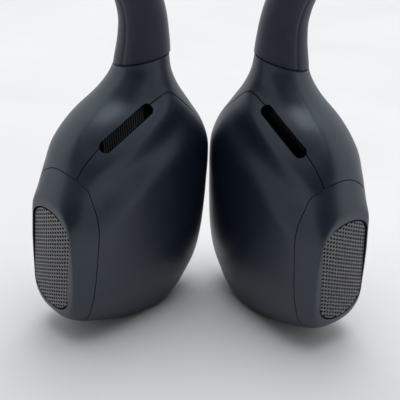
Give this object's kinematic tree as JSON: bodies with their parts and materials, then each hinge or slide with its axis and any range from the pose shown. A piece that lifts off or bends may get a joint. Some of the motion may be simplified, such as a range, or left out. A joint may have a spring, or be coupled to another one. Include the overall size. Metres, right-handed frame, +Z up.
{
  "type": "bone conduction headphones",
  "caption": "Open-ear bone conduction headphones: two toe-in speaker pods on silicone ear hooks, modules behind the ears and a springy wire neckband.",
  "frame": {"origin": "centre of the footprint, at the surface that the pods and the back of the neckband stand on", "axes": "+Z up, +Y towards the wearer's front, +X towards the wearer's right"},
  "size_m": [0.13, 0.1168, 0.0463],
  "materials": {
    "soft_touch": "satin soft-touch coating",
    "silicone": "matte",
    "grille_metal": "fine perforated, satin",
    "dark_mesh": "matte woven mesh",
    "black_plastic": "matte",
    "diaphragm_film": "satin film",
    "titanium": "drawn wire",
    "magnet_metal": "nickel plated",
    "copper": "enamelled winding",
    "circuit_board": "solder mask",
    "foil_pouch": "foil pouch",
    "clear_plastic": "clear"
  },
  "bodies": {
    "neckband": {"band_rear_sleeve": "silicone", "band_rear_core": "titanium"},
    "left_arm": {"left_pod_outer_shell": "soft_touch", "left_pod_inner_shell": "soft_touch", "left_pod_end_cap": "soft_touch", "left_module_outer_shell": "soft_touch", "left_module_inner_shell": "soft_touch", "left_hook_sleeve": "silicone", "left_band_side_sleeve": "silicone", "left_band_flex_sleeve": "silicone", "left_speaker_grille": "grille_metal", "left_slot_vent_mesh": "dark_mesh", "left_air_driver_frame": "black_plastic", "left_air_driver_diaphragm": "diaphragm_film", "left_transducer_yoke": "titanium", "left_hook_core": "titanium", "left_band_side_core": "titanium", "left_transducer_magnet": "magnet_metal", "left_vibration_plate": "magnet_metal", "left_transducer_coil": "copper", "left_pod_board": "circuit_board", "left_multifunction_switch": "black_plastic", "left_battery_cell": "foil_pouch", "left_battery_board": "circuit_board"},
    "right_arm": {"right_pod_outer_shell": "soft_touch", "right_pod_inner_shell": "soft_touch", "right_pod_end_cap": "soft_touch", "right_module_outer_shell": "soft_touch", "right_module_inner_shell": "soft_touch", "right_hook_sleeve": "silicone", "right_band_side_sleeve": "silicone", "right_band_flex_sleeve": "silicone", "right_speaker_grille": "grille_metal", "right_slot_vent_mesh": "dark_mesh", "right_air_driver_frame": "black_plastic", "right_air_driver_diaphragm": "diaphragm_film", "right_transducer_yoke": "titanium", "right_hook_core": "titanium", "right_band_side_core": "titanium", "right_transducer_magnet": "magnet_metal", "right_vibration_plate": "magnet_metal", "right_transducer_coil": "copper", "right_pod_board": "circuit_board", "right_main_board": "circuit_board", "right_usb_c_receptacle": "magnet_metal", "right_charge_light_pipe": "clear_plastic", "right_volume_up_switch": "black_plastic", "right_volume_down_switch": "black_plastic"},
    "multifunction_button": {"left_multifunction_button": "soft_touch"},
    "volume_up_button": {"right_volume_up_button": "soft_touch"},
    "volume_down_button": {"right_volume_down_button": "soft_touch"}
  },
  "joints": [
    {"name": "left_band_flex", "type": "hinge", "parent": "neckband", "child": "left_arm", "pos_m": [-0.05, -0.0469, 0.0024], "axis": [0, 0, 1], "range_deg": [0, 36], "stiffness_Nm_per_rad": 0.15, "deforming": ["left_band_flex_sleeve"]},
    {"name": "right_band_flex", "type": "hinge", "parent": "neckband", "child": "right_arm", "pos_m": [0.05, -0.0469, 0.0024], "axis": [0, 0, -1], "range_deg": [0, 36], "stiffness_Nm_per_rad": 0.15, "deforming": ["right_band_flex_sleeve"]},
    {"name": "multifunction_press", "type": "slide", "parent": "left_arm", "child": "multifunction_button", "axis": [0.7337, -0.6794, 0], "range_m": [0, 0.0004], "stiffness_N_per_m": 3000},
    {"name": "volume_up_press", "type": "slide", "parent": "right_arm", "child": "volume_up_button", "axis": [-0.4016, 0.4786, -0.7809], "range_m": [0, 0.00035], "stiffness_N_per_m": 3000},
    {"name": "volume_down_press", "type": "slide", "parent": "right_arm", "child": "volume_down_button", "axis": [-0.4016, 0.4786, -0.7809], "range_m": [0, 0.00035], "stiffness_N_per_m": 3000}
  ]
}
